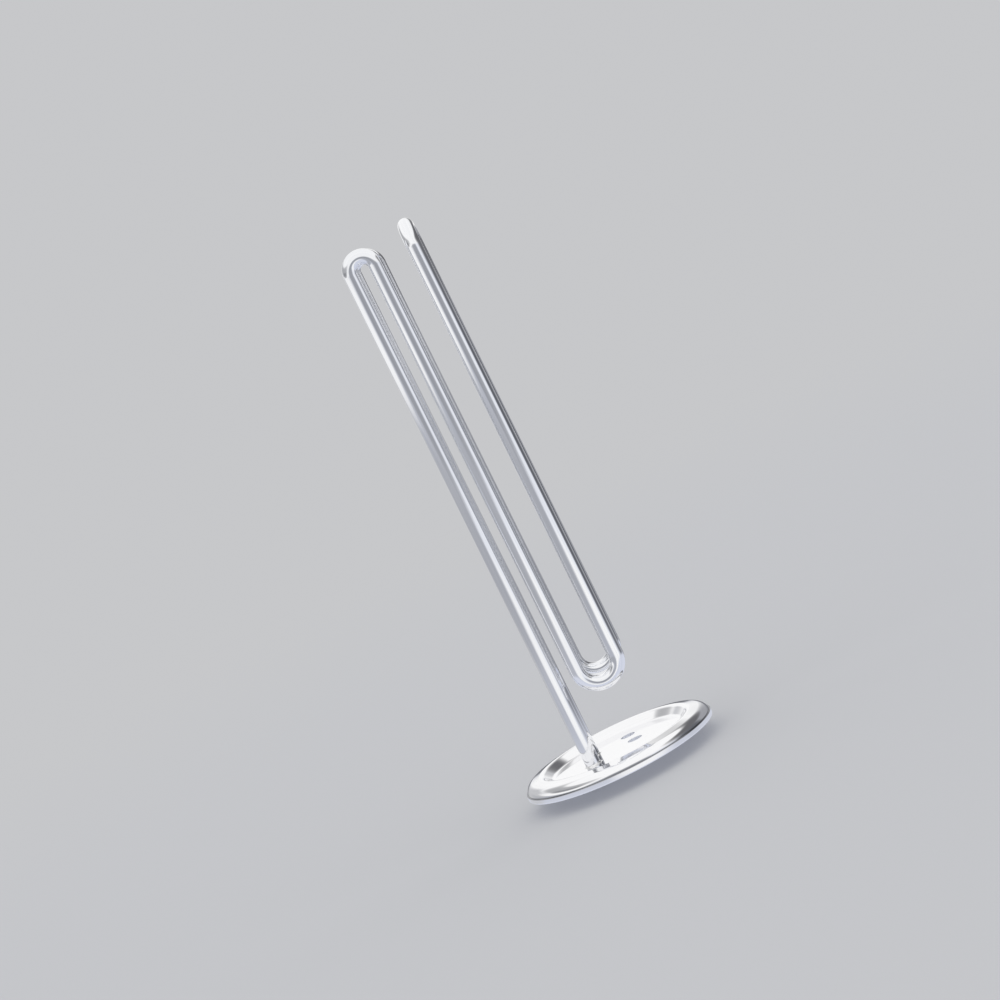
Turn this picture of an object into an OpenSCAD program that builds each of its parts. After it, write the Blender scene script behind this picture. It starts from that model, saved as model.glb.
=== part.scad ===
// Immersion heating element: one bent metal-sheathed tube on a stamped round flange.
// Origin: centre of the flange, in the plane of its underside. +Z runs up along the legs.
// Front row of legs at -Y, back row at +Y, crossover between the rows at +X.

/* [Flange] */
// Outer diameter of the flange
flange_d = 109.6; // [100:0.1:130]
// Thickness of the sheet that the flange is stamped from
sheet_t = 3; // [2.4:0.1:3.2]
// Height of the sunken plate's top over the rim's top
plate_lift = 1.2; // [0.4:0.1:2]
// Width of the flat ledge on the rim, outside the hollow corner at the bead's foot
ledge_w = 0.5; // [0.4:0.1:3]
// Diameter of the circle along which the bead is highest
crest_d = 88.8; // [88:0.1:92]
// Height of the bead over the rim's top
bead_h = 5.4; // [4.8:0.1:5.8]
// Radius of the bead's crest
crest_r = 4; // [3.3:0.1:4.5]
// Steepness of the bead's inner slope, in degrees
slope_a = 40; // [35:1:55]
// Radius of the bead's outer shoulder
crown_r = 5.7; // [5.2:0.1:6.2]
// How much lower the shoulder's own top is than the crest
crown_drop = 0.9; // [0.5:0.1:1.5]
// Radius of the hollow corner at the bead's outer foot
foot_r = 0.3; // [0.2:0.1:0.8]
// Radius of the hollow corner between the plate and the inner slope
plate_corner_r = 3.5; // [1:0.1:4]
// Radius of the rounds that the sheet is bent to on its underside
under_r = 1.2; // [0.8:0.1:1.4]
// Radius on the rim's upper outer edge
rim_top_r = 0.4; // [0.2:0.1:0.5]
// Radius on the rim's lower outer edge
rim_bottom_r = 0.6; // [0.2:0.1:1]
// Diameter of the two open ports in the plate
port_d = 8.5; // [4:0.1:10]
// Place along X of the port nearer the front row
port_near_x = 10.7; // [2:0.1:20]
// Place along Y of the port nearer the front row
port_near_y = 4.4; // [-6:0.1:8]
// Place along X of the port nearer the back row
port_far_x = 7; // [0:0.1:15]
// Place along Y of the port nearer the back row
port_far_y = 20.7; // [17:0.1:28]

/* [Tube] */
// Outside diameter of the sheath
tube_d = 8.5; // [6.5:0.1:9.5]
// Wall thickness of the sheath
tube_wall = 0.8; // [0.5:0.05:1.2]
// Distance between the terminal leg and the middle leg of a row
inner_pitch = 14.25; // [13:0.05:18]
// Distance between the middle leg and the outer leg of a row
outer_pitch = 22.5; // [18:0.1:26]
// Distance between the front row and the back row
row_pitch = 21.2; // [18:0.1:26]
// Height at which the front row's upper bend starts
top_z = 296; // [150:1:500]
// Height of the lower bend of the front row, at the ends of its legs
low_z = 53.7; // [45:0.1:80]
// How much lower the back row's upper bend starts
back_top_drop = 1.6; // [0:0.1:5]
// How much higher the back row's lower bend ends
back_low_rise = 3.5; // [0:0.1:6]
// Length of sheath that stands out under the plate
tube_tail = 1.6; // [0.5:0.1:3]
// Leg of the braze fillet round each tube on the plate
braze_leg = 1.1; // [0.5:0.1:2]
// Radial gap in the flange's holes that the braze flows into
braze_gap = 0.05; // [0.02:0.01:0.15]

/* [Inside] */
// Diameter of the cold pin inside the sheath
pin_d = 3.5; // [2.5:0.1:3.6]
// Height of the cold pin's inner end
pin_top_z = 48; // [30:1:60]
// Diameter of the resistance wire
wire_d = 0.5; // [0.3:0.05:0.8]
// Length over which the coil is wound on the pin
coil_grip = 8; // [4:0.5:12]
// Depth of the resin seal inside the sheath's end
seal_len = 5; // [3:0.5:10]

/* [Terminals] */
// Length of the insulator's spigot inside the sheath
spigot_len = 3; // [2:0.1:5]
// Radial clearance round the insulator's spigot and round the pin in it
insulator_gap = 0.1; // [0.05:0.01:0.2]
// Diameter of the insulator's head
insulator_d = 8; // [7:0.1:9]
// Thickness of the insulator's head
insulator_head = 1.2; // [0.8:0.1:2]
// Outside diameter of the thread on the pin's end
stud_d = 4; // [3:0.1:4]
// Length of the threaded end beyond the insulator
stud_len = 6.2; // [5.5:0.1:7]
// Outside diameter of the washer
washer_d = 7.6; // [6:0.1:9]
// Thickness of the washer
washer_t = 0.8; // [0.5:0.1:1]
// Width of the nut across its flats
nut_af = 7; // [6:0.1:8]
// Height of the nut
nut_h = 3.2; // [2.4:0.1:3.2]
// Chamfer on the nut's corners
nut_chamfer = 0.5; // [0.2:0.1:0.8]

/* [Hidden] */
$fn = 96;
// How far a cutter runs past what it cuts
over = 1;
// How far joined outlines reach into each other
lap = 0.5;
// How far a round that touches a line is let into it
touch = 0.0005;
flange_r = flange_d / 2;
rim_z = sheet_t;
// Depth to which what lies under a skin is filled
floor_z = -crown_r - over;
plate_z = rim_z + plate_lift;
// Centres of the rounds in the flange's half section: the hollow corner on the ledge, the outer
// shoulder, which touches that corner, and the crest
foot_c = [flange_r - ledge_w, rim_z + foot_r];
crown_z = rim_z + bead_h - crown_drop - crown_r;
crown_c = [foot_c[0] - sqrt(pow(crown_r + foot_r, 2) - pow(foot_c[1] - crown_z, 2)), crown_z];
crest_c = [crest_d / 2, rim_z + bead_h - crest_r];
// Angles at which the skin faces on the inner slope and on the line that touches both rounds
slope_n = 90 + slope_a;
to_crown = crown_c - crest_c;
top_n = atan2(to_crown[1], to_crown[0]) + acos((crest_r - crown_r) / norm(to_crown));
// Centre of the hollow corner that touches the plate and the inner slope
corner_z = plate_z + plate_corner_r;
corner_reach = (crest_r + plate_corner_r - (corner_z - crest_c[1]) * cos(slope_a)) / sin(slope_a);
corner_c = [crest_c[0] - corner_reach, corner_z];
front = -1;
back = 1;
terminal_x = -inner_pitch;
outer_x = outer_pitch;
tube_r = tube_d / 2;
core_r = tube_r - tube_wall;
hole_r = tube_r + braze_gap;
back_top_z = top_z - back_top_drop;
back_low_z = low_z + back_low_rise;
tail_z = plate_z - sheet_t - tube_tail;
spigot_z = tail_z + spigot_len;
fill_z = spigot_z + seal_len;
coil_r = pin_d / 2 + wire_d;
head_z = tail_z - insulator_head;
nut_z = head_z - washer_t - nut_h;

function row_y(side) = side * row_pitch / 2;
function on_bend(centre, r, a) = centre + r * [cos(a), sin(a)];

// Straight stretch of a round bar at x on one row
module leg(x, side, r, z0, z1) {
    translate([x, row_y(side), z0]) cylinder(h = z1 - z0, r = r);
}

// Half turn of a round bar in the plane of a row, upwards or downwards
module row_bend(x0, x1, side, r, z, up) {
    translate([(x0 + x1) / 2, row_y(side), z]) rotate([up ? 90 : -90, 0, 0])
        rotate_extrude(angle = 180) translate([(x1 - x0) / 2, 0]) circle(r = r);
}

// Half turn from the front row over to the back row
module crossover(r, z) {
    translate([outer_x, 0, z]) rotate([90, 0, 90])
        rotate_extrude(angle = 180) translate([row_pitch / 2, 0]) circle(r = r);
}

// One row of three legs, its upper bend and its lower bend
module row(side, r, z0, z_low, z_top) {
    leg(terminal_x, side, r, z0, z_top);
    row_bend(terminal_x, 0, side, r, z_top, true);
    leg(0, side, r, z_low, z_top);
    row_bend(0, outer_x, side, r, z_low, false);
    leg(outer_x, side, r, z_low, top_z);
}

// Solid bar of radius r along the whole route, from height z0 at one end to z0 at the other
module route(r, z0) {
    row(front, r, z0, low_z, top_z);
    crossover(r, top_z);
    row(back, r, z0, back_low_z, back_top_z);
}

// Waste outside a rounded corner whose tip is at the origin and whose solid lies at -X, -Y
module corner_waste(r) {
    difference() {
        translate([-r, -r]) square(r + over);
        translate([-r, -r]) circle(r = r);
    }
}

// Hollow corner of radius r round the point at, filled from there towards that angle
module hollow_corner(at, r, toward) {
    end = on_bend(at, r + lap, toward);
    rotate_extrude() difference() {
        polygon([at, end, [end[0], floor_z], [at[0], floor_z]]);
        translate(at) circle(r = r + touch);
    }
}

// Everything under the bead's skin that lies inset inside it, with its own radius on the crest
module under_bead(inset, crest) {
    way = ([cos(slope_n), sin(slope_n)] + [cos(top_n), sin(top_n)]) / (1 + cos(slope_n - top_n));
    top = crest_c + (crest_r - inset - crest) * way;
    crown = crown_r - inset;
    foot = on_bend(corner_c, plate_corner_r + inset, slope_n - 180) - lap * [cos(slope_a), sin(slope_a)];
    rotate_extrude() translate(crown_c) circle(r = crown);
    rotate_extrude() translate(top) circle(r = crest);
    rotate_extrude() polygon([[foot[0], floor_z], foot, on_bend(top, crest - touch, slope_n), top,
                              on_bend(top, crest - touch, top_n),
                              on_bend(crown_c, crown - touch, top_n), crown_c,
                              [crown_c[0] + crown - touch, crown_z],
                              [crown_c[0] + crown - touch, floor_z]]);
    hollow_corner(corner_c, plate_corner_r + inset, slope_n - 180);
    translate([0, 0, floor_z]) cylinder(h = plate_z - inset - floor_z, r = corner_c[0] + lap);
}

// Everything under the sheet's upper skin
module under_top() {
    translate([0, 0, floor_z]) cylinder(h = rim_z - floor_z, r = flange_r);
    under_bead(0, crest_r);
    hollow_corner(foot_c, foot_r, atan2(crown_z - foot_c[1], crown_c[0] - foot_c[0]));
}

// Everything under the sheet's lower skin
module under_sheet() {
    translate([0, 0, floor_z - over]) cylinder(h = over - floor_z, r = flange_r + over);
    under_bead(sheet_t, under_r);
    hollow_corner([crown_c[0] + crown_r - sheet_t + under_r, under_r], under_r, 180);
}

// The stamped sheet: plate, bead and rim
module stamped_sheet() {
    difference() {
        under_top();
        under_sheet();
        rotate_extrude() translate([flange_r, rim_z]) corner_waste(rim_top_r);
        rotate_extrude() translate([flange_r, 0]) mirror([0, 1]) corner_waste(rim_bottom_r);
    }
}

module hole(at, d) {
    translate([at[0], at[1], -over]) cylinder(h = plate_z + 2 * over, d = d);
}

module flange() {
    color("gainsboro") difference() {
        stamped_sheet();
        for (side = [front, back]) hole([terminal_x, row_y(side)], 2 * hole_r);
        hole([port_near_x, port_near_y], port_d);
        hole([port_far_x, port_far_y], port_d);
    }
}

module heating_tube() {
    color("lightsteelblue") difference() {
        route(tube_r, tail_z);
        route(core_r, tail_z - over);
    }
}

// Fillet of brazing metal that closes the gap between tube and flange
module braze_ring(side) {
    color("silver") translate([terminal_x, row_y(side), plate_z]) rotate_extrude() {
        difference() {
            translate([tube_r, 0]) square(braze_leg);
            translate([tube_r + braze_leg, braze_leg]) circle(r = braze_leg);
        }
        translate([tube_r, -sheet_t]) square([hole_r - tube_r, sheet_t]);
    }
}

module insulation_fill() {
    color("ivory") difference() {
        route(core_r, fill_z);
        wound_coil();
        for (side = [front, back]) leg(terminal_x, side, pin_d / 2, fill_z - over, pin_top_z);
    }
}

// The wound wire, as a sleeve of the coil's inner and outer diameters
module wound_coil() {
    start = pin_top_z - coil_grip;
    difference() {
        route(coil_r, start);
        route(pin_d / 2, start - over);
    }
}

module resistance_coil() {
    color("dimgray") wound_coil();
}

module cold_pin(side) {
    color("darkgray") {
        leg(terminal_x, side, pin_d / 2, head_z, pin_top_z);
        leg(terminal_x, side, stud_d / 2, head_z - stud_len, head_z);
    }
}

module end_seal(side) {
    color("indianred") difference() {
        leg(terminal_x, side, core_r, spigot_z, fill_z);
        leg(terminal_x, side, pin_d / 2, spigot_z - over, fill_z + over);
    }
}

module insulator(side) {
    color("white") difference() {
        union() {
            leg(terminal_x, side, core_r - insulator_gap, tail_z - lap, spigot_z);
            leg(terminal_x, side, insulator_d / 2, head_z, tail_z);
        }
        leg(terminal_x, side, pin_d / 2 + insulator_gap, head_z - over, spigot_z + over);
    }
}

module washer(side) {
    color("silver") difference() {
        leg(terminal_x, side, washer_d / 2, head_z - washer_t, head_z);
        leg(terminal_x, side, stud_d / 2, head_z - washer_t - over, head_z + over);
    }
}

module nut(side) {
    corner_r = nut_af / 2 / cos(30);
    color("silver") difference() {
        intersection() {
            translate([terminal_x, row_y(side), nut_z]) cylinder(h = nut_h, r = corner_r, $fn = 6);
            translate([terminal_x, row_y(side), nut_z])
                cylinder(h = nut_h, r1 = corner_r - nut_chamfer, r2 = corner_r - nut_chamfer + nut_h);
        }
        leg(terminal_x, side, stud_d / 2, nut_z - over, nut_z + nut_h + over);
    }
}

flange();
heating_tube();
braze_ring(front);  // braze_ring_front
braze_ring(back);  // braze_ring_back
insulation_fill();
resistance_coil();
cold_pin(front);  // cold_pin_front
cold_pin(back);  // cold_pin_back
end_seal(front);  // end_seal_front
end_seal(back);  // end_seal_back
insulator(front);  // insulator_front
insulator(back);  // insulator_back
washer(front);  // washer_front
washer(back);  // washer_back
nut(front);  // nut_front
nut(back);  // nut_back
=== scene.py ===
"""Looks of the immersion heating element: polished tube and flange, terminals, studio and camera."""

from math import acos, atan2, cos, pi, radians, sin, sqrt

import bmesh
import bpy
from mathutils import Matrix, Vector
from mathutils.geometry import delaunay_2d_cdt


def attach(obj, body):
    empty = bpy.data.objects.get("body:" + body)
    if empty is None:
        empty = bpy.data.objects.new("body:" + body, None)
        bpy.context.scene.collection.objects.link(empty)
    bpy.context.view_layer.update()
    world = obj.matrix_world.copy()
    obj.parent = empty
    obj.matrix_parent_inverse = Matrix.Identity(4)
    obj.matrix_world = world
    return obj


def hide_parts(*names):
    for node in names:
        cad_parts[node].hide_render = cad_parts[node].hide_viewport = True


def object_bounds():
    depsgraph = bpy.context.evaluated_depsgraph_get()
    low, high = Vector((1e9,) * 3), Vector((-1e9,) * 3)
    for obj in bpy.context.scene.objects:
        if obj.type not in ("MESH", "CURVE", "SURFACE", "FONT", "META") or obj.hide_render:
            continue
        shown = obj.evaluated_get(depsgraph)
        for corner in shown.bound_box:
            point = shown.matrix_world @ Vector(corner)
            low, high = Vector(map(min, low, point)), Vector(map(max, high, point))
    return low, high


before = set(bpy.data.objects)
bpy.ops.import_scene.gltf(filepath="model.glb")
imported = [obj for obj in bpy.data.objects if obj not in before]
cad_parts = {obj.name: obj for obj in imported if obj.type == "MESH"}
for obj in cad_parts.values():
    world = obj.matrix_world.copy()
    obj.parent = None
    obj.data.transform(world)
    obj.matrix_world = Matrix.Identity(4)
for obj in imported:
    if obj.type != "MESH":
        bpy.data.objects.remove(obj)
cad_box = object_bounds()

MM = 0.001
BODY = "root"
FRONT, BACK = -1, 1

# Camera, as the photograph was taken
PHOTO_PIXELS = 1000
FOCAL_PIXELS = 3576.3
SENSOR = 36.0
ELEVATION = radians(6.809)
AZIMUTH = radians(3.882)
ROLL = radians(26.328)
DISTANCE = 1908.1 * MM
TARGET = Vector((2.924, 0, 153.439)) * MM

# Flange
FLANGE_R = 54.8 * MM
SHEET = 3 * MM
PLATE_LIFT = 1.2 * MM
LEDGE_W = 0.5 * MM
BEAD_H = 5.4 * MM
CREST_AT = 44.4 * MM
CREST_R = 4 * MM
SLOPE = radians(40)
CROWN_R = 5.7 * MM
CROWN_DROP = 0.9 * MM
FOOT_R = 0.3 * MM
PLATE_CORNER_R = 3.5 * MM
UNDER_R = 1.2 * MM
RIM_TOP_R = 0.4 * MM
RIM_BOTTOM_R = 0.6 * MM
PORT_R = 4.25 * MM
PORTS = [(10.7 * MM, 4.4 * MM), (7 * MM, 20.7 * MM)]

# Tube
TUBE_R = 4.25 * MM
CORE_R = 3.45 * MM
BRAZE_GAP = 0.05 * MM
INNER_PITCH = 14.25 * MM
OUTER_PITCH = 22.5 * MM
ROW_Y = 10.6 * MM
TOP_Z = 296 * MM
LOW_Z = 53.7 * MM
BACK_TOP_Z = 294.4 * MM
BACK_LOW_Z = 57.2 * MM
TAIL_Z = -0.4 * MM

PLATE_Z = SHEET + PLATE_LIFT
TERMINAL_X = -INNER_PITCH

# How finely the round shapes are drawn
TURN_STEPS = 256
ARC_STEP = radians(6)
TUBE_STEPS = 72
BEND_STEPS = 48
LEG_STEP = 8 * MM
HOLE_STEPS = 96
CDT_GAP = 1e-7
TRIANGLES_INSIDE = 1
COURSE = "course"


def add_mesh(name, verts, faces, normals, slot_name, *replaced):
    """A smooth piece with a normal of its own for each corner of each face."""
    mesh = bpy.data.meshes.new(name)
    mesh.from_pydata(verts, [], faces)
    mesh.polygons.foreach_set("use_smooth", [True] * len(faces))
    mesh.normals_split_custom_set([n for face in normals for n in face])
    mesh.update()
    piece = bpy.data.objects.new(name, mesh)
    bpy.context.scene.collection.objects.link(piece)
    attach(piece, BODY)
    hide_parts(*replaced)
    return piece


# Tube

def straight(a, b):
    """Points and directions along a leg from a to b, both ends included."""
    a, b = Vector(a), Vector(b)
    steps = max(1, round((b - a).length / LEG_STEP))
    along = (b - a).normalized()
    return [(a.lerp(b, i / steps), along) for i in range(steps + 1)]


def half_turn(a, b, rise):
    """Points and directions round a half turn from a to b that bulges towards rise."""
    a, b, rise = Vector(a), Vector(b), Vector(rise)
    centre, arm = (a + b) / 2, (a - b) / 2
    radius = arm.length
    out = []
    for i in range(1, BEND_STEPS):
        t = pi * i / BEND_STEPS
        out.append((centre + arm * cos(t) + rise * radius * sin(t),
                    (rise * radius * cos(t) - arm * sin(t)).normalized()))
    return out


def tube_route():
    """The tube's middle line from the front terminal to the back one."""
    up, down = (0, 0, 1), (0, 0, -1)
    front, back = FRONT * ROW_Y, BACK * ROW_Y
    return (straight((TERMINAL_X, front, TAIL_Z), (TERMINAL_X, front, TOP_Z))
            + half_turn((TERMINAL_X, front, TOP_Z), (0, front, TOP_Z), up)
            + straight((0, front, TOP_Z), (0, front, LOW_Z))
            + half_turn((0, front, LOW_Z), (OUTER_PITCH, front, LOW_Z), down)
            + straight((OUTER_PITCH, front, LOW_Z), (OUTER_PITCH, front, TOP_Z))
            + half_turn((OUTER_PITCH, front, TOP_Z), (OUTER_PITCH, back, TOP_Z), up)
            + straight((OUTER_PITCH, back, TOP_Z), (OUTER_PITCH, back, BACK_LOW_Z))
            + half_turn((OUTER_PITCH, back, BACK_LOW_Z), (0, back, BACK_LOW_Z), down)
            + straight((0, back, BACK_LOW_Z), (0, back, BACK_TOP_Z))
            + half_turn((0, back, BACK_TOP_Z), (TERMINAL_X, back, BACK_TOP_Z), up)
            + straight((TERMINAL_X, back, BACK_TOP_Z), (TERMINAL_X, back, TAIL_Z)))


def swept(route, radius, inward):
    """Vertices, faces and corner normals of a round skin along the route."""
    verts, radial = [], []
    side = Vector((0, 1, 0))
    for point, along in route:
        side = (side - along * side.dot(along)).normalized()
        other = along.cross(side)
        for j in range(TUBE_STEPS):
            t = 2 * pi * j / TUBE_STEPS
            out = side * cos(t) + other * sin(t)
            verts.append(point + out * radius)
            radial.append(-out if inward else out)
    faces = []
    for i in range(len(route) - 1):
        for j in range(TUBE_STEPS):
            k = (j + 1) % TUBE_STEPS
            a, b = i * TUBE_STEPS, (i + 1) * TUBE_STEPS
            face = (a + j, a + k, b + k, b + j)
            faces.append(face[::-1] if inward else face)
    return verts, faces, [[radial[v] for v in face] for face in faces]


def build_tube():
    route = tube_route()
    verts, faces, normals = swept(route, TUBE_R, False)
    inner_verts, inner_faces, inner_normals = swept(route, CORE_R, True)
    shift = len(verts)
    verts += inner_verts
    faces += [tuple(v + shift for v in face) for face in inner_faces]
    normals += inner_normals
    last = (len(route) - 1) * TUBE_STEPS
    for ring, flip in ((0, True), (last, False)):
        for j in range(TUBE_STEPS):
            k = (j + 1) % TUBE_STEPS
            face = (ring + j, ring + k, shift + ring + k, shift + ring + j)
            faces.append(face[::-1] if flip else face)
            normals.append([Vector((0, 0, -1))] * 4)
    piece = add_mesh("tube_skin", verts, faces, normals, "sheath_steel", "heating_tube")
    mark_course(piece.data, route)
    return piece


def mark_course(mesh, route):
    """Write each vertex's place on the drawn tube: round it in x and y, along it in z."""
    travelled, course = 0, []
    for i, (point, _) in enumerate(route):
        if i > 0:
            travelled += (point - route[i - 1][0]).length
        course += [(TUBE_R * cos(2 * pi * j / TUBE_STEPS), TUBE_R * sin(2 * pi * j / TUBE_STEPS), travelled)
                   for j in range(TUBE_STEPS)]
    layer = mesh.attributes.new(COURSE, "FLOAT_VECTOR", "POINT")
    layer.data.foreach_set("vector", [value for place in course * 2 for value in place])


# Flange

def arc(centre, radius, start, end, outward):
    """Points (r, z, normal r, normal z) round an arc, from start to end in radians."""
    steps = max(4, round(abs(end - start) / ARC_STEP))
    sign = 1 if outward else -1
    out = []
    for i in range(steps + 1):
        t = start + (end - start) * i / steps
        out.append((centre[0] + radius * cos(t), centre[1] + radius * sin(t),
                    sign * cos(t), sign * sin(t)))
    return out


def facing(angle):
    return Vector((cos(angle), sin(angle)))


def flange_profile():
    """The stamped sheet's half section, from the plate's top round the rim to its underside."""
    foot = FLANGE_R - LEDGE_W, SHEET + FOOT_R
    crown_z = SHEET + BEAD_H - CROWN_DROP - CROWN_R
    crown = foot[0] - sqrt((CROWN_R + FOOT_R) ** 2 - (foot[1] - crown_z) ** 2), crown_z
    meet = atan2(foot[1] - crown_z, foot[0] - crown[0])
    crest = CREST_AT, SHEET + BEAD_H - CREST_R
    slope = pi / 2 + SLOPE
    away = Vector(crown) - Vector(crest)
    over = atan2(away.y, away.x) + acos((CREST_R - CROWN_R) / away.length)
    corner_z = PLATE_Z + PLATE_CORNER_R
    reach = (CREST_R + PLATE_CORNER_R - (corner_z - crest[1]) * cos(SLOPE)) / sin(SLOPE)
    corner = CREST_AT - reach, corner_z
    top = (arc(corner, PLATE_CORNER_R, -pi / 2, slope - pi, False)
           + arc(crest, CREST_R, slope, over, True)
           + arc(crown, CROWN_R, over, meet, True)
           + arc(foot, FOOT_R, meet + pi, 3 * pi / 2, False)
           + arc((FLANGE_R - RIM_TOP_R, SHEET - RIM_TOP_R), RIM_TOP_R, pi / 2, 0, True))
    way = (facing(slope) + facing(over)) / (1 + cos(slope - over))
    hollow = Vector(crest) + way * (CREST_R - SHEET - UNDER_R)
    outer_r = crown[0] + CROWN_R - SHEET
    below = (arc((FLANGE_R - RIM_BOTTOM_R, RIM_BOTTOM_R), RIM_BOTTOM_R, 0, -pi / 2, True)
             + arc((outer_r + UNDER_R, UNDER_R), UNDER_R, 3 * pi / 2, pi, True)
             + arc(crown, CROWN_R - SHEET, 0, over, False)
             + arc(hollow, UNDER_R, over, slope, False)
             + arc(corner, PLATE_CORNER_R + SHEET, slope - pi, -pi / 2, True))
    return top + below


def flat_with_holes(z, rim_r, holes, upward):
    """Faces that fill the disc of radius rim_r around the round holes, each (centre, radius)."""
    rings = [ring_points((0, 0), rim_r, TURN_STEPS)]
    rings += [ring_points(centre, radius, HOLE_STEPS) for centre, radius in holes]
    points, loops = [], []
    for ring in rings:
        loops.append(range(len(points), len(points) + len(ring)))
        points += [Vector(p) for p in ring]
    flat, _, faces, _, _, _ = delaunay_2d_cdt(points, [], [list(loop) for loop in loops],
                                              TRIANGLES_INSIDE, CDT_GAP)
    kept = []
    for face in faces:
        a, b, c = (flat[v] for v in face[:3])
        middle = sum((flat[v] for v in face), Vector((0, 0))) / len(face)
        if all((middle - Vector(centre)).length > radius for centre, radius in holes):
            kept.append(face if ((b - a).cross(c - a) > 0) == upward else face[::-1])
    return [Vector((p[0], p[1], z)) for p in flat], kept


def ring_points(centre, radius, steps):
    return [(centre[0] + radius * cos(2 * pi * j / steps), centre[1] + radius * sin(2 * pi * j / steps))
            for j in range(steps)]


def build_flange():
    profile = flange_profile()
    verts, faces, normals = [], [], []
    for r, z, _, _ in profile:
        verts += [Vector((x, y, z)) for x, y in ring_points((0, 0), r, TURN_STEPS)]
    for i in range(len(profile) - 1):
        for j in range(TURN_STEPS):
            k = (j + 1) % TURN_STEPS
            a, b = i * TURN_STEPS, (i + 1) * TURN_STEPS
            faces.append((a + j, b + j, b + k, a + k))
            corners = ((i, j), (i + 1, j), (i + 1, k), (i, k))
            normals.append([Vector((profile[m][2] * cos(2 * pi * n / TURN_STEPS),
                                    profile[m][2] * sin(2 * pi * n / TURN_STEPS), profile[m][3]))
                            for m, n in corners])
    holes = [((TERMINAL_X, side * ROW_Y), TUBE_R + BRAZE_GAP) for side in (FRONT, BACK)]
    holes += [(at, PORT_R) for at in PORTS]
    starts = []
    for (r, z, _, nz) in (profile[0], profile[-1]):
        flat_verts, tris = flat_with_holes(z, r, holes, nz > 0)
        shift = len(verts)
        starts.append(shift + TURN_STEPS)
        verts += flat_verts
        faces += [tuple(v + shift for v in tri) for tri in tris]
        normals += [[Vector((0, 0, nz))] * len(tri) for tri in tris]
    cut_from = len(faces)
    for h in range(len(holes)):
        for j in range(HOLE_STEPS):
            k = (j + 1) % HOLE_STEPS
            a, b = starts[0] + h * HOLE_STEPS, starts[1] + h * HOLE_STEPS
            faces.append((a + j, a + k, b + k, b + j))
            normals.append([Vector((-cos(2 * pi * n / HOLE_STEPS), -sin(2 * pi * n / HOLE_STEPS), 0))
                            for n in (j, k, k, j)])
    piece = add_mesh("flange_skin", verts, faces, normals, "flange_steel", "flange")
    # The flange's finish carries painted shade in the crease at the bead's foot
    piece.data.materials.append(turned_metal("polished_flange", *FLANGE_FINISH, painted_shade=crease_shade_mask))
    piece.data.materials.append(grained("punched_edge", *CUT_FINISH))
    for face in range(cut_from, len(faces)):
        piece.data.polygons[face].material_index = 1
    return piece


# Camera

def place_camera():
    data = bpy.data.cameras.new("camera")
    data.sensor_width = SENSOR
    data.lens = SENSOR * FOCAL_PIXELS / PHOTO_PIXELS
    camera = bpy.data.objects.new("camera", data)
    bpy.context.scene.collection.objects.link(camera)
    forward = Vector((-sin(AZIMUTH) * cos(ELEVATION), cos(AZIMUTH) * cos(ELEVATION), -sin(ELEVATION)))
    right = Vector((cos(AZIMUTH), sin(AZIMUTH), 0))
    up = right.cross(forward)
    x = right * cos(ROLL) - up * sin(ROLL)
    y = right * sin(ROLL) + up * cos(ROLL)
    matrix = camera.matrix_world.to_3x3()
    for i, axis in enumerate((x, y, -forward)):
        matrix.col[i] = axis
    camera.matrix_world = matrix.to_4x4()
    camera.location = TARGET - forward * DISTANCE
    bpy.context.scene.camera = camera


# Studio

BACKDROP = (0.57, 0.575, 0.59, 1)
FLOOR_Z = cad_box[0].z - 0.4 * MM
FLOOR_HALF = 8
FADE_FROM, FADE_TO = 0.45, 1.3
SKY = (0.98, 0.985, 1, 1)
GROUND = (0.55, 0.57, 0.64, 1)
HORIZON = 1.0, 3.5
# Tent round the object, which only its reflections show
TENT_R = 0.6
TENT_Z = 0.15
TENT_SKY = (1, 1, 1, 1)
TENT_WALL = (0.50, 0.515, 0.57, 1)
TENT_FLOOR = (0.70, 0.73, 0.83, 1)
TENT_WALL_TOP = 9.0, 15.0
TENT_WALL_FOOT = -28.0, -20.0
# Soft patches of the tent: name, azimuth from the back towards the right and elevation of the
# middle, half width, half height, in degrees, colour and how strongly it covers
PATCHES = [
    ("glow_back", 0, 6, 27, 16, (1, 1, 1, 1), 1),
    ("base_back", 0, -17, 42, 6, (0.13, 0.135, 0.15, 1), 0.9),
    ("backdrop_left", -46, -6, 26, 22, (0.57, 0.575, 0.59, 1), 1),
    ("card_front", 146, -6, 34, 20, (0.88, 0.90, 0.96, 1), 1),
    ("glow_front", 139, 2, 18, 14, (0.86, 0.88, 0.93, 1), 1),
    ("card_low", 162, -18, 36, 8, (1, 1, 1, 1), 1),
    ("shade_front", 176, 6, 29, 12, (0.33, 0.34, 0.37, 1), 0.95),
    ("haze_right", 46, -2, 34, 17, (0.34, 0.345, 0.37, 1), 0.95),
    ("core_right", 84, -4, 23, 18, (0.11, 0.115, 0.13, 1), 0.95),
    ("haze_left", -112, -9, 68, 8, (0.42, 0.43, 0.465, 1), 0.9),
    ("card_left", -98, 8, 44, 6.5, (1, 1, 1, 1), 1),
    ("flag_left", -84, 29, 58, 12, (0.34, 0.345, 0.36, 1), 0.85),
    ("core_left", -98, 20, 26, 7, (0.20, 0.205, 0.22, 1), 0.7),
    ("flag_right", 62, 23, 54, 14, (0.12, 0.12, 0.13, 1), 0.97),
]


def node(tree, kind, inputs=(), **settings):
    """One shader node with its settings and inputs, each a value or another node's output."""
    made = tree.nodes.new(kind)
    for key, value in settings.items():
        setattr(made, key, value)
    for key, value in dict(inputs).items():
        if isinstance(value, bpy.types.NodeSocket):
            tree.links.new(value, made.inputs[key])
        else:
            made.inputs[key].default_value = value
    return made


def math_node(tree, operation, *values):
    return node(tree, "ShaderNodeMath", dict(enumerate(values)), operation=operation).outputs[0]


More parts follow.
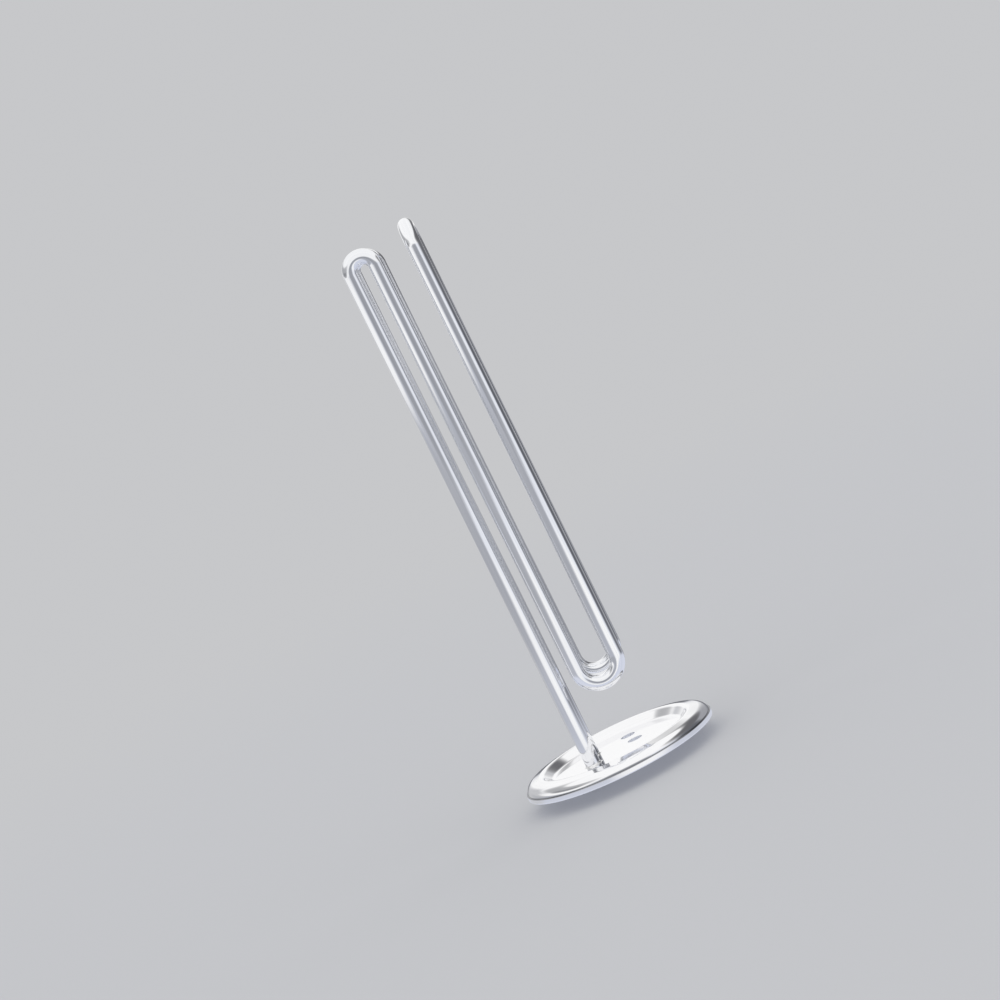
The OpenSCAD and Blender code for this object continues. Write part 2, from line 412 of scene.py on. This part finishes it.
def soft_step(tree, value, start, end, low=0, high=1):
    inputs = {"Value": value, "From Min": start, "From Max": end, "To Min": low, "To Max": high}
    return node(tree, "ShaderNodeMapRange", inputs, interpolation_type="SMOOTHSTEP").outputs[0]


def mix_colour(tree, share, a, b):
    return node(tree, "ShaderNodeMix", {0: share, 6: a, 7: b}, data_type="RGBA").outputs[2]


def patch_mask(tree, direction, elevation, patch):
    """1 in the middle of a soft oval patch, 0 outside it."""
    _, azimuth, middle, half_width, half_height, _, strength = patch
    turned = node(tree, "ShaderNodeVectorRotate", {"Vector": direction, "Angle": radians(azimuth)},
                  rotation_type="Z_AXIS").outputs[0]
    parts = node(tree, "ShaderNodeSeparateXYZ", {0: turned}).outputs
    across = math_node(tree, "ARCTAN2", parts[0], parts[1])
    along_x = math_node(tree, "DIVIDE", across, radians(half_width))
    up = math_node(tree, "SUBTRACT", elevation, radians(middle))
    along_y = math_node(tree, "DIVIDE", up, radians(half_height))
    square = math_node(tree, "ADD", math_node(tree, "POWER", math_node(tree, "ABSOLUTE", along_x), 3),
                       math_node(tree, "POWER", math_node(tree, "ABSOLUTE", along_y), 3))
    return soft_step(tree, square, 0.05, 1.9, strength, 0)


def empty_tree(owner):
    owner.use_nodes = True
    owner.node_tree.nodes.clear()
    return owner.node_tree


def light_world():
    world = bpy.data.worlds.new("studio")
    bpy.context.scene.world = world
    bpy.context.scene.view_settings.view_transform = "Standard"
    tree = empty_tree(world)
    direction = node(tree, "ShaderNodeTexCoord").outputs["Generated"]
    height = node(tree, "ShaderNodeSeparateXYZ", {0: direction}).outputs[2]
    elevation = math_node(tree, "ARCSINE", height)
    above = soft_step(tree, elevation, radians(HORIZON[0]), radians(HORIZON[1]))
    colour = mix_colour(tree, above, GROUND, SKY)
    seen = node(tree, "ShaderNodeLightPath").outputs["Is Camera Ray"]
    colour = mix_colour(tree, seen, colour, BACKDROP)
    background = node(tree, "ShaderNodeBackground", {"Color": colour, "Strength": 1})
    node(tree, "ShaderNodeOutputWorld", {"Surface": background.outputs[0]})


def hang_tent():
    """A tent wall close round the object, seen by reflections alone."""
    mesh = bpy.data.meshes.new("tent")
    form = bmesh.new()
    bmesh.ops.create_uvsphere(form, u_segments=96, v_segments=48, radius=TENT_R)
    form.to_mesh(mesh)
    form.free()
    tent = bpy.data.objects.new("tent", mesh)
    tent.location.z = TENT_Z
    bpy.context.scene.collection.objects.link(tent)
    for ray in ("camera", "diffuse", "transmission", "volume_scatter", "shadow"):
        setattr(tent, "visible_" + ray, False)
    material = bpy.data.materials.new("tent")
    tree = empty_tree(material)
    place = node(tree, "ShaderNodeTexCoord").outputs["Object"]
    direction = node(tree, "ShaderNodeVectorMath", {0: place}, operation="NORMALIZE").outputs[0]
    elevation = math_node(tree, "ARCSINE", node(tree, "ShaderNodeSeparateXYZ", {0: direction}).outputs[2])
    raised = soft_step(tree, elevation, *(radians(a) for a in TENT_WALL_FOOT))
    colour = mix_colour(tree, raised, TENT_FLOOR, TENT_WALL)
    above = soft_step(tree, elevation, *(radians(a) for a in TENT_WALL_TOP))
    colour = mix_colour(tree, above, colour, TENT_SKY)
    for patch in PATCHES:
        colour = mix_colour(tree, patch_mask(tree, direction, elevation, patch), colour, patch[5])
    glow = node(tree, "ShaderNodeEmission", {"Color": colour, "Strength": 1})
    node(tree, "ShaderNodeOutputMaterial", {"Surface": glow.outputs[0]})
    mesh.materials.append(material)


def lay_floor():
    corners = [Vector((x, y, 0)) * FLOOR_HALF for x, y in ((-1, -1), (1, -1), (1, 1), (-1, 1))]
    mesh = bpy.data.meshes.new("floor")
    mesh.from_pydata(corners, [], [(0, 1, 2, 3)])
    floor = bpy.data.objects.new("floor", mesh)
    floor.location.z = FLOOR_Z
    bpy.context.scene.collection.objects.link(floor)
    floor.visible_glossy = False
    material = bpy.data.materials.new("floor")
    tree = empty_tree(material)
    place = node(tree, "ShaderNodeTexCoord").outputs["Object"]
    far = node(tree, "ShaderNodeVectorMath", {0: place}, operation="LENGTH").outputs["Value"]
    diffuse = node(tree, "ShaderNodeBsdfDiffuse", {"Color": BACKDROP}).outputs[0]
    plain = node(tree, "ShaderNodeEmission", {"Color": BACKDROP, "Strength": 1}).outputs[0]
    share = soft_step(tree, far, FADE_FROM, FADE_TO)
    mixed = node(tree, "ShaderNodeMixShader", {0: share, 1: diffuse, 2: plain})
    node(tree, "ShaderNodeOutputMaterial", {"Surface": mixed.outputs[0]})
    mesh.materials.append(material)


# Finishes

# Colours of a finish's low and high grain, roughness of each, height of the grain and whether it is metal
SHEATH_FINISH = ((0.86, 0.87, 0.895, 1), (0.92, 0.925, 0.94, 1)), (0.05, 0.10), 0.0006 * MM, 1
FLANGE_FINISH = ((0.92, 0.92, 0.93, 1), (0.945, 0.945, 0.955, 1)), (0.045, 0.075), 0.0003 * MM, 1
CUT_FINISH = ((0.84, 0.845, 0.86, 1), (0.93, 0.935, 0.95, 1)), (0.30, 0.42), 0.004 * MM, 1
BRAZE_FINISH = ((0.84, 0.84, 0.845, 1), (0.91, 0.91, 0.905, 1)), (0.16, 0.28), 0.01 * MM, 1
PIN_FINISH = ((0.60, 0.60, 0.61, 1), (0.70, 0.70, 0.70, 1)), (0.22, 0.36), 0.002 * MM, 1
PLATED_FINISH = ((0.66, 0.68, 0.72, 1), (0.76, 0.77, 0.78, 1)), (0.20, 0.34), 0.003 * MM, 1
WIRE_FINISH = ((0.30, 0.28, 0.26, 1), (0.42, 0.40, 0.37, 1)), (0.40, 0.60), 0.25 * MM, 1
CERAMIC_FINISH = ((0.76, 0.73, 0.66, 1), (0.84, 0.82, 0.77, 1)), (0.38, 0.55), 0.01 * MM, 0
SEAL_FINISH = ((0.38, 0.13, 0.09, 1), (0.47, 0.18, 0.12, 1)), (0.35, 0.55), 0.02 * MM, 0
POWDER_FINISH = ((0.66, 0.65, 0.62, 1), (0.80, 0.79, 0.76, 1)), (0.90, 1.0), 0.05 * MM, 0
# Grain sizes, as features per metre
DRAWN_GRAIN = Vector((900, 900, 14))
TURNED_GRAIN = 1400
TURNED_SWEEP = 1.2
FINE_GRAIN = 2600
POWDER_GRAIN = 6000
CERAMIC_GRAIN = 1800
WINDING_PITCH = 1.1 * MM
GRAIN_LOW, GRAIN_HIGH = 0.34, 0.66
# Painted shade in the crease at the foot of the bead: the colour turns dark where the crease falls into shade
PAINTED_CREASE_SHADE = (0.20, 0.205, 0.22, 1)
CREASE_CORE, CREASE_REACH = 0.2 * MM, 0.8 * MM


def grain_noise(tree, vector, scale, detail=3):
    return node(tree, "ShaderNodeTexNoise", {"Vector": vector, "Scale": scale, "Detail": detail}).outputs[0]


def object_place(tree):
    return node(tree, "ShaderNodeTexCoord").outputs["Object"]


def round_axis(tree):
    """Distance from the z axis, the flat vector from it and the height."""
    x, y, z = node(tree, "ShaderNodeSeparateXYZ", {0: object_place(tree)}).outputs
    flat = node(tree, "ShaderNodeCombineXYZ", {0: x, 1: y}).outputs[0]
    radius = node(tree, "ShaderNodeVectorMath", {0: flat}, operation="LENGTH").outputs["Value"]
    return radius, flat, z


def crease_shade_mask(tree):
    """Mask of the painted shade: 1 in the crease at the bead's foot, 0 away from it."""
    radius, _, z = round_axis(tree)
    away = node(tree, "ShaderNodeCombineXYZ", {0: math_node(tree, "SUBTRACT", radius, FLANGE_R - LEDGE_W),
                                               1: math_node(tree, "SUBTRACT", z, SHEET)}).outputs[0]
    far = node(tree, "ShaderNodeVectorMath", {0: away}, operation="LENGTH").outputs["Value"]
    return soft_step(tree, far, CREASE_CORE, CREASE_REACH, 1, 0)


def finish(name, pattern, colours, roughness, height, metallic, painted_shade=None):
    """A material whose colour, roughness and height follow one pattern of grain, with painted shade darkening
    its colour where a mask asks for it.
    """
    material = bpy.data.materials.new(name)
    tree = empty_tree(material)
    grain = soft_step(tree, pattern(tree), GRAIN_LOW, GRAIN_HIGH)
    bump = node(tree, "ShaderNodeBump", {"Height": grain, "Distance": height, "Strength": 1})
    rough = soft_step(tree, grain, 0, 1, *roughness)
    colour = mix_colour(tree, grain, *colours)
    # Painted shade: the colour turns dark where the mask is 1
    if painted_shade:
        colour = mix_colour(tree, painted_shade(tree), colour, PAINTED_CREASE_SHADE)
    shader = node(tree, "ShaderNodeBsdfPrincipled",
                  {"Base Color": colour, "Metallic": metallic, "Roughness": rough,
                   "Normal": bump.outputs[0]})
    node(tree, "ShaderNodeOutputMaterial", {"Surface": shader.outputs[0]})
    return material


def drawn_metal(name, *look):
    """Metal with fine streaks along the tube, as drawing leaves them."""
    def pattern(tree):
        course = node(tree, "ShaderNodeAttribute", attribute_name=COURSE).outputs["Vector"]
        streaks = node(tree, "ShaderNodeMapping", {"Vector": course, "Scale": DRAWN_GRAIN}).outputs[0]
        return grain_noise(tree, streaks, 1)
    return finish(name, pattern, *look)


def turned_metal(name, *look, painted_shade=None):
    """Metal with fine rings round the z axis, as turning and polishing leave them."""
    def pattern(tree):
        radius, flat, z = round_axis(tree)
        way = node(tree, "ShaderNodeVectorMath", {0: flat}, operation="NORMALIZE").outputs[0]
        swept = node(tree, "ShaderNodeVectorMath", {0: way, "Scale": TURNED_SWEEP}, operation="SCALE").outputs[0]
        step = math_node(tree, "MULTIPLY", math_node(tree, "ADD", radius, z), TURNED_GRAIN)
        rings = node(tree, "ShaderNodeCombineXYZ", {2: step}).outputs[0]
        place = node(tree, "ShaderNodeVectorMath", {0: swept, 1: rings}, operation="ADD").outputs[0]
        return grain_noise(tree, place, 1)
    return finish(name, pattern, *look, painted_shade=painted_shade)


def grained(name, colours, roughness, height, metallic, scale=FINE_GRAIN):
    """A finish with an even grain."""
    return finish(name, lambda tree: grain_noise(tree, object_place(tree), scale),
                  colours, roughness, height, metallic)


def wound(name, *look):
    """Turns of wire across the z axis."""
    def pattern(tree):
        z = node(tree, "ShaderNodeSeparateXYZ", {0: object_place(tree)}).outputs[2]
        turn = math_node(tree, "MULTIPLY", z, 2 * pi / WINDING_PITCH)
        wave = math_node(tree, "MULTIPLY_ADD", math_node(tree, "SINE", turn), 0.25, 0.4)
        return math_node(tree, "ADD", wave, math_node(
            tree, "MULTIPLY", grain_noise(tree, object_place(tree), FINE_GRAIN), 0.2))
    return finish(name, pattern, *look)


def dress(material, *names):
    """Give the CAD nodes of these names the material."""
    for name in names:
        piece = bpy.data.objects[name]
        for index in range(len(piece.material_slots)):
            piece.material_slots[index].material = material


# Pins

STUD_R = 2 * MM
PIN_R = 1.75 * MM
THREAD_PITCH = 0.7 * MM
THREAD_DEPTH = 0.61 * THREAD_PITCH
CREST_SHARE, ROOT_SHARE = 0.125, 0.25
STUD_CHAMFER = 0.6 * MM
STUD_END_Z = -7.8 * MM
STUD_TOP_Z = -1.6 * MM
PIN_TOP_Z = 48 * MM
THREAD_ROWS = 16
PIN_STEPS = 48


def thread_radius(z, turn):
    """Radius of a right-hand thread at a height and a share of a turn."""
    share = ((z - STUD_END_Z) / THREAD_PITCH - turn) % 1
    from_crest = abs(share - 0.5)
    flank = 0.5 - CREST_SHARE / 2 - ROOT_SHARE / 2
    sunk = min(1, max(0, (from_crest - CREST_SHARE / 2) / flank))
    chamfered = STUD_R - STUD_CHAMFER + (z - STUD_END_Z)
    return min(STUD_R - THREAD_DEPTH * sunk, chamfered)


def build_pin(side, name):
    """A cold pin with its thread, as one closed skin."""
    count = round((STUD_TOP_Z - STUD_END_Z) / THREAD_PITCH * THREAD_ROWS)
    rows = [STUD_END_Z + (STUD_TOP_Z - STUD_END_Z) * i / count for i in range(count + 1)]
    middle = Vector((TERMINAL_X, side * ROW_Y, 0))
    verts = [middle + Vector((0, 0, STUD_END_Z))]
    turns = [j / PIN_STEPS for j in range(PIN_STEPS)]
    for z in rows:
        verts += [middle + round_point(thread_radius(z, turn), turn, z) for turn in turns]
    for z in (STUD_TOP_Z, PIN_TOP_Z):
        verts += [middle + round_point(PIN_R, turn, z) for turn in turns]
    verts.append(middle + Vector((0, 0, PIN_TOP_Z)))
    rings, top = len(rows) + 2, len(verts) - 1
    faces = []
    for j in range(PIN_STEPS):
        k = (j + 1) % PIN_STEPS
        faces.append((0, 1 + k, 1 + j))
        for i in range(rings - 1):
            low, high = 1 + i * PIN_STEPS, 1 + (i + 1) * PIN_STEPS
            faces.append((low + j, low + k, high + k, high + j))
        last = 1 + (rings - 1) * PIN_STEPS
        faces.append((last + j, last + k, top))
    mesh = bpy.data.meshes.new(name)
    mesh.from_pydata(verts, [], faces)
    mesh.polygons.foreach_set("use_smooth", [False] * len(faces))
    piece = bpy.data.objects.new(name, mesh)
    bpy.context.scene.collection.objects.link(piece)
    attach(piece, BODY)
    return piece


def round_point(radius, turn, z):
    return Vector((radius * cos(2 * pi * turn), radius * sin(2 * pi * turn), z))


tube = build_tube()
tube.data.materials.append(drawn_metal("polished_sheath", *SHEATH_FINISH))
flange = build_flange()
pin_metal = turned_metal("drawn_pin", *PIN_FINISH)
for side, end in ((FRONT, "front"), (BACK, "back")):
    pin = build_pin(side, "pin_skin_" + end)
    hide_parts("cold_pin_" + end)
    pin.data.materials.append(pin_metal)
dress(grained("silver_braze", *BRAZE_FINISH), "braze_ring_front", "braze_ring_back")
dress(grained("plated", *PLATED_FINISH), "washer_front", "washer_back", "nut_front", "nut_back")
dress(grained("steatite", *CERAMIC_FINISH, scale=CERAMIC_GRAIN), "insulator_front", "insulator_back")
dress(grained("resin", *SEAL_FINISH), "end_seal_front", "end_seal_back")
dress(grained("packed_powder", *POWDER_FINISH, scale=POWDER_GRAIN), "insulation_fill")
dress(wound("winding", *WIRE_FINISH), "resistance_coil")
place_camera()
light_world()
hang_tent()
lay_floor()
